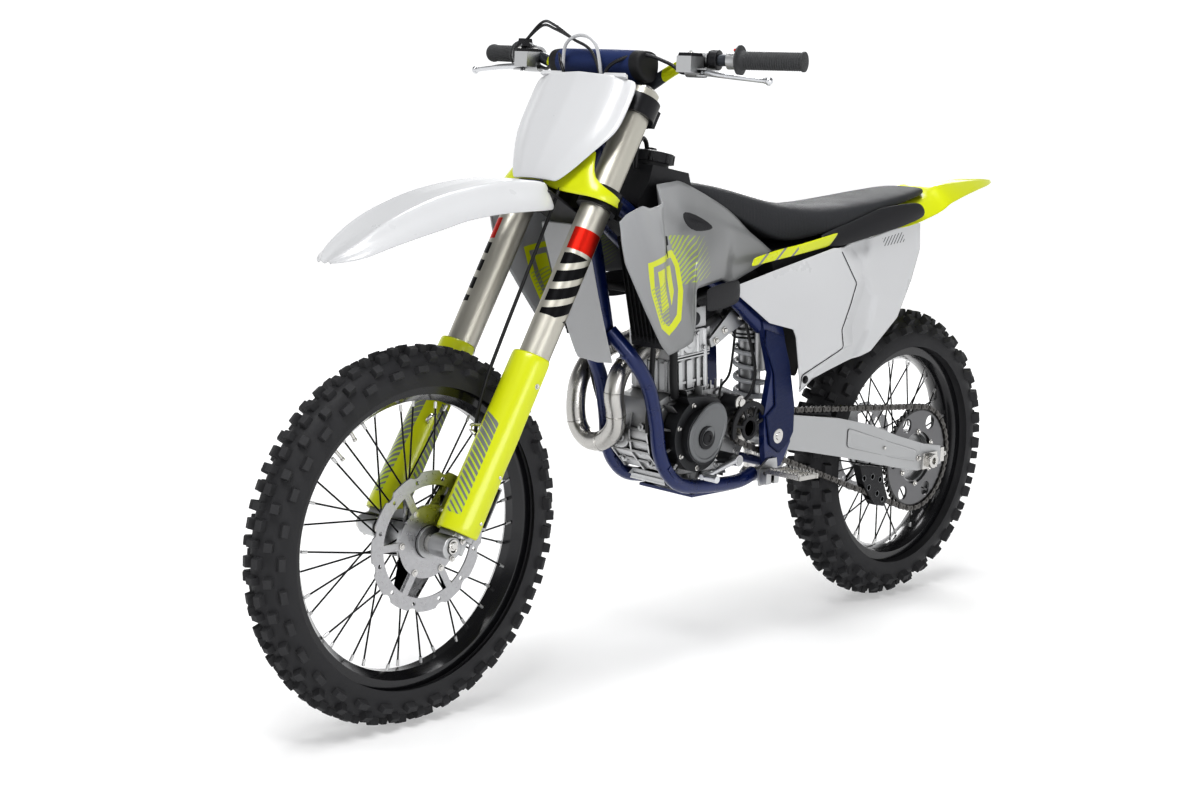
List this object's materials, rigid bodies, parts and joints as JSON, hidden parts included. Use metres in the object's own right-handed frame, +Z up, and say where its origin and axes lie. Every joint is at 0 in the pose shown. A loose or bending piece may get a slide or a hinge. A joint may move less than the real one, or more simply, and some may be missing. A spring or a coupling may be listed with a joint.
{
  "type": "motocross motorcycle",
  "caption": "Full-size motocross motorcycle with steering, telescopic fork, swingarm with linkage shock, spinning wheels, chain drive, folding footpegs and working hand and foot levers.",
  "frame": {"origin": "on the ground below the middle of the wheelbase", "axes": "+X forward, +Y to the rider's left, +Z up"},
  "size_m": [2.189, 0.8408, 1.2604],
  "materials": {
    "frame_paint": "gloss metallic",
    "guard_plastic": "ribbed",
    "black_plastic": "grained",
    "engine_cast": "cast satin",
    "dark_cast": "satin",
    "radiator_black": "satin",
    "grey_plastic": "satin",
    "tank_black": "satin",
    "seat_cover": "ribbed grip vinyl",
    "white_plastic": "gloss",
    "yellow_plastic": "gloss",
    "steel": "satin",
    "alloy": "satin",
    "black_metal": "satin anodised",
    "fork_gold": "satin anodised",
    "bar_grey": "satin",
    "navy_pad": "foam pad cover",
    "grip_rubber": "waffle",
    "tyre_rubber": "block tread",
    "rim_black": "gloss",
    "spring_white": "gloss",
    "chain_steel": "oiled",
    "hose_rubber": "satin",
    "red_plastic": "gloss",
    "arm_cast": "cast satin"
  },
  "bodies": {
    "chassis": {"main_frame": "frame_paint", "frame_cradle": "frame_paint", "frame_guards": "guard_plastic", "subframe": "black_plastic", "crankcase": "engine_cast", "engine_top_end": "engine_cast", "engine_covers": "dark_cast", "radiators": "radiator_black", "shrouds": "grey_plastic", "fuel_tank": "tank_black", "seat": "seat_cover", "side_panels": "white_plastic", "rear_fender": "yellow_plastic", "exhaust_header": "steel", "silencer": "alloy", "brackets": "alloy"},
    "fuel_cap_body": {"fuel_cap": "black_plastic"},
    "footpeg_left_body": {"footpeg_left": "steel"},
    "footpeg_right_body": {"footpeg_right": "steel"},
    "shift_lever_body": {"shift_lever": "alloy"},
    "brake_pedal_body": {"brake_pedal": "alloy"},
    "drive_sprocket_body": {"drive_sprocket": "steel"},
    "shock_upper": {"shock_body": "alloy", "shock_spring": "spring_white"},
    "shock_lower": {"shock_rod": "steel"},
    "rocker": {"shock_rocker": "alloy"},
    "steering": {"triple_clamps": "black_metal", "fork_outer_tubes": "fork_gold", "handlebar": "bar_grey", "bar_pad": "navy_pad", "grip_left": "grip_rubber", "master_cylinders": "alloy", "number_plate": "white_plastic", "front_fender": "white_plastic", "fork_shroud": "yellow_plastic"},
    "throttle_grip_body": {"throttle_grip": "grip_rubber"},
    "brake_lever_body": {"brake_lever": "alloy"},
    "clutch_lever_body": {"clutch_lever": "alloy"},
    "stop_button_body": {"stop_button": "red_plastic"},
    "fork_slider": {"fork_legs": "alloy", "fork_guards": "yellow_plastic", "front_axle": "steel", "front_caliper": "alloy", "front_brake_hose": "hose_rubber"},
    "front_wheel": {"front_tyre": "tyre_rubber", "front_rim": "rim_black", "front_spokes": "steel", "front_hub": "alloy", "front_disc": "steel"},
    "rear_wheel": {"rear_tyre": "tyre_rubber", "rear_rim": "rim_black", "rear_spokes": "steel", "rear_hub": "alloy", "rear_disc": "steel", "rear_sprocket": "black_metal"},
    "rear_arm": {"swingarm": "arm_cast", "rear_axle": "steel", "chain_guides": "black_plastic", "rear_caliper": "alloy", "chain": "chain_steel"}
  },
  "joints": [
    {"name": "steering_turn", "type": "hinge", "parent": "chassis", "child": "steering", "pos_m": [0.69856, 0, 0.32814], "axis": [-0.4772, 0, 0.8788], "range_deg": [-40, 40]},
    {"name": "fork_slide", "type": "slide", "parent": "steering", "child": "fork_slider", "axis": [-0.4772, 0, 0.8788], "range_m": [0, 0.24], "stiffness_N_per_m": 5000, "springref_m": -0.03, "deforming": ["front_brake_hose"]},
    {"name": "front_wheel_spin", "type": "hinge", "parent": "fork_slider", "child": "front_wheel", "pos_m": [0.7425, 0, 0.352], "axis": [0, 1, 0], "continuous": true},
    {"name": "swingarm_pivot", "type": "hinge", "parent": "chassis", "child": "rear_arm", "pos_m": [-0.18, 0, 0.458], "axis": [0, 1, 0], "range_deg": [0, 25], "stiffness_Nm_per_rad": 1400, "springref_deg": -6.88, "deforming": ["chain"]},
    {"name": "rear_wheel_spin", "type": "hinge", "parent": "rear_arm", "child": "rear_wheel", "pos_m": [-0.7425, 0, 0.343], "axis": [0, 1, 0], "continuous": true},
    {"name": "drive_sprocket_spin", "type": "hinge", "parent": "chassis", "child": "drive_sprocket_body", "pos_m": [-0.095, 0, 0.482], "axis": [0, 1, 0], "continuous": true},
    {"name": "shock_swing", "type": "hinge", "parent": "chassis", "child": "shock_upper", "pos_m": [-0.193, 0, 0.728], "axis": [0, 1, 0], "range_deg": [0, 8]},
    {"name": "shock_stroke", "type": "slide", "parent": "shock_upper", "child": "shock_lower", "axis": [0.1032, 0, 0.9947], "range_m": [0, 0.0905], "deforming": ["shock_spring"]},
    {"name": "rocker_turn", "type": "hinge", "parent": "rear_arm", "child": "rocker", "pos_m": [-0.3, 0, 0.372], "axis": [0, 1, 0], "range_deg": [-55, 0]},
    {"name": "throttle_turn", "type": "hinge", "parent": "steering", "child": "throttle_grip_body", "pos_m": [0.21179, -0.34, 1.23203], "axis": [-0.2739, -0.9617, 0.0127], "range_deg": [0, 75], "stiffness_Nm_per_rad": 0.4, "springref_deg": -14.32},
    {"name": "front_brake_pull", "type": "hinge", "parent": "steering", "child": "brake_lever_body", "pos_m": [0.268, -0.246, 1.207], "axis": [0, 0, -1], "range_deg": [0, 15], "stiffness_Nm_per_rad": 6, "springref_deg": -5.73},
    {"name": "clutch_pull", "type": "hinge", "parent": "steering", "child": "clutch_lever_body", "pos_m": [0.268, 0.246, 1.207], "axis": [0, 0, 1], "range_deg": [0, 15], "stiffness_Nm_per_rad": 6, "springref_deg": -5.73},
    {"name": "stop_press", "type": "slide", "parent": "steering", "child": "stop_button_body", "axis": [0.3162, 0, -0.9487], "range_m": [0, 0.003], "stiffness_N_per_m": 400, "springref_m": -0.002},
    {"name": "shift_move", "type": "hinge", "parent": "chassis", "child": "shift_lever_body", "pos_m": [-0.056, 0, 0.418], "axis": [0, 1, 0], "range_deg": [-12, 12], "stiffness_Nm_per_rad": 12},
    {"name": "rear_brake_press", "type": "hinge", "parent": "chassis", "child": "brake_pedal_body", "pos_m": [-0.15, 0, 0.424], "axis": [0, 1, 0], "range_deg": [0, 9], "stiffness_Nm_per_rad": 25, "springref_deg": -6.88},
    {"name": "left_footpeg_fold", "type": "hinge", "parent": "chassis", "child": "footpeg_left_body", "pos_m": [-0.145, 0.126, 0.386], "axis": [1, 0, 0], "range_deg": [0, 50], "stiffness_Nm_per_rad": 1.5, "springref_deg": -22.92},
    {"name": "right_footpeg_fold", "type": "hinge", "parent": "chassis", "child": "footpeg_right_body", "pos_m": [-0.145, -0.126, 0.386], "axis": [-1, 0, 0], "range_deg": [0, 50], "stiffness_Nm_per_rad": 1.5, "springref_deg": -22.92},
    {"name": "fuel_cap_turn", "type": "hinge", "parent": "chassis", "child": "fuel_cap_body", "pos_m": [0.144, 0, 1.021], "axis": [-0.1582, 0, 0.9874], "range_deg": [0, 180]}
  ],
  "couplings": [
    {"joint": "drive_sprocket_spin", "follows": "rear_wheel_spin", "ratio": 3.6923},
    {"joint": "shock_swing", "follows": "swingarm_pivot", "ratio": 0.2696},
    {"joint": "shock_stroke", "follows": "swingarm_pivot", "m_per_rad": 0.20626},
    {"joint": "rocker_turn", "follows": "swingarm_pivot", "ratio": -2.184}
  ]
}
